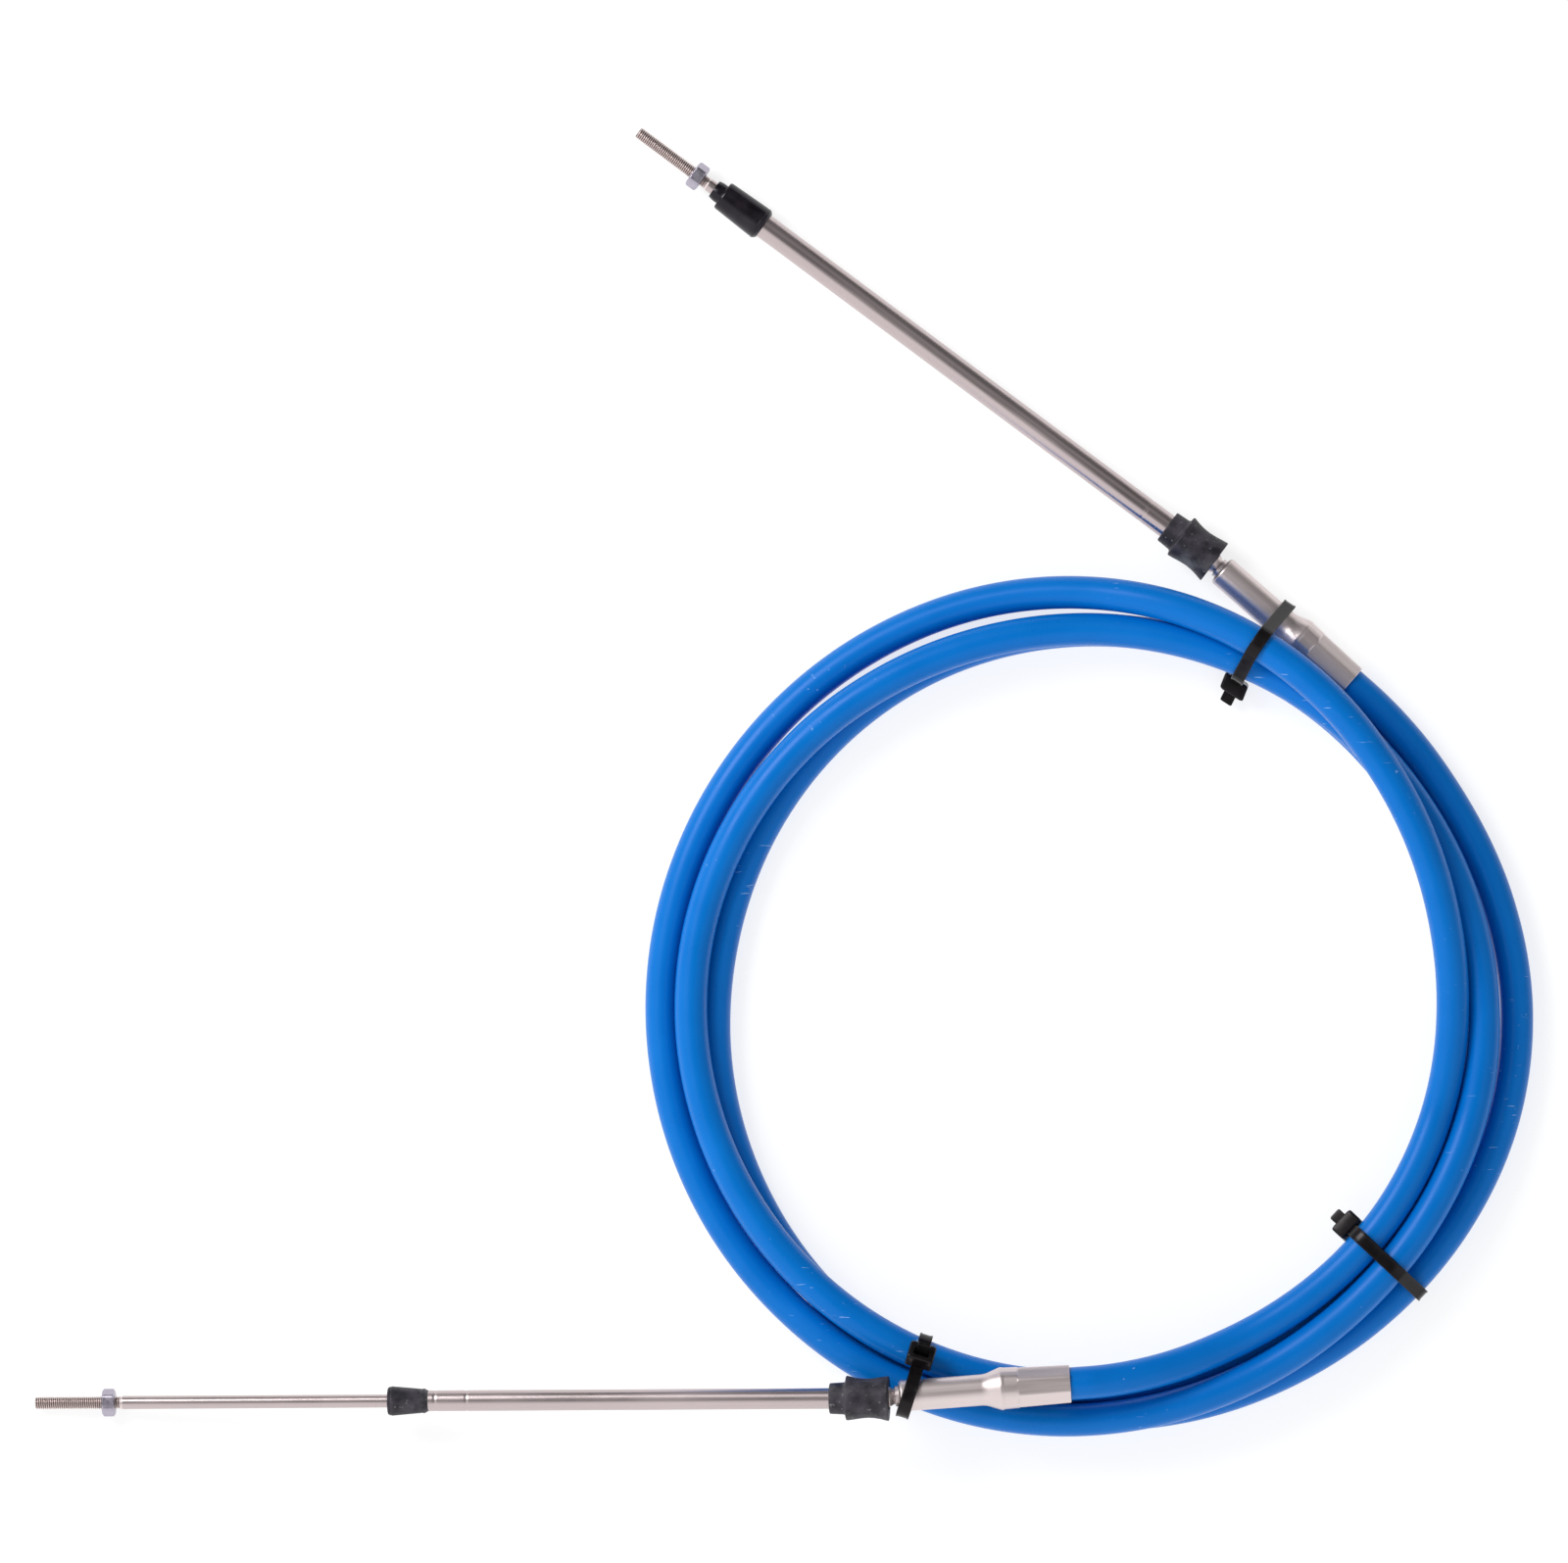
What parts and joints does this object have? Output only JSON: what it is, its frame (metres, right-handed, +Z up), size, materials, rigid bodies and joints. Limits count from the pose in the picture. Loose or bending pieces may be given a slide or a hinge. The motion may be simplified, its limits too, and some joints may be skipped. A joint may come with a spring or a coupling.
{
  "type": "push-pull boat steering cable",
  "caption": "Blue jacketed push-pull steering cable in a tied coil, with a swivelling steel tube and a sliding threaded rod with a jam nut at each end.",
  "frame": {"origin": "on the floor, under the middle of the cable's bounding box", "axes": "+Z up; +X along the lower end's tube, from its rod's tip towards the coil; the cable lies on z = 0"},
  "size_m": [0.5658, 0.4938, 0.0412],
  "materials": {
    "jacket": "smooth blue extruded jacket, satin, with light scuffs",
    "steel": "satin stainless steel, drawn lengthwise",
    "zinc": "bright zinc plated",
    "boot_rubber": "matt charcoal rubber",
    "wiper_rubber": "glossy black rubber",
    "nylon": "black nylon with a soft shine"
  },
  "bodies": {
    "root": {"jacket": "jacket", "lower_hub": "steel", "upper_hub": "steel", "lower_tie": "nylon", "side_tie": "nylon", "upper_tie": "nylon"},
    "lower_sleeve": {"lower_tube": "steel", "lower_boot": "boot_rubber", "lower_wiper": "boot_rubber"},
    "lower_slider": {"lower_rod": "steel", "lower_nut": "zinc"},
    "upper_sleeve": {"upper_tube": "steel", "upper_boot": "boot_rubber", "upper_wiper": "wiper_rubber"},
    "upper_slider": {"upper_rod": "steel", "upper_nut": "zinc"}
  },
  "joints": [
    {"name": "lower_swivel", "type": "hinge", "parent": "root", "child": "lower_sleeve", "pos_m": [0.03124, -0.23237, 0.03216], "axis": [0, 0, 1], "range_deg": [-2.5, 9]},
    {"name": "upper_swivel", "type": "hinge", "parent": "root", "child": "upper_sleeve", "pos_m": [0.15602, 0.08793, 0.0089], "axis": [0, 0, 1], "range_deg": [-12, 3.5]},
    {"name": "lower_slide", "type": "slide", "parent": "lower_sleeve", "child": "lower_slider", "axis": [-0.9958, -0.0078, -0.0915], "range_m": [-0.096, 0]},
    {"name": "upper_slide", "type": "slide", "parent": "upper_sleeve", "child": "upper_slider", "axis": [-0.8017, 0.5976, -0.0105], "range_m": [0, 0.096]}
  ],
  "couplings": [
    {"joint": "lower_slide", "follows": "upper_slide", "ratio": -1}
  ]
}
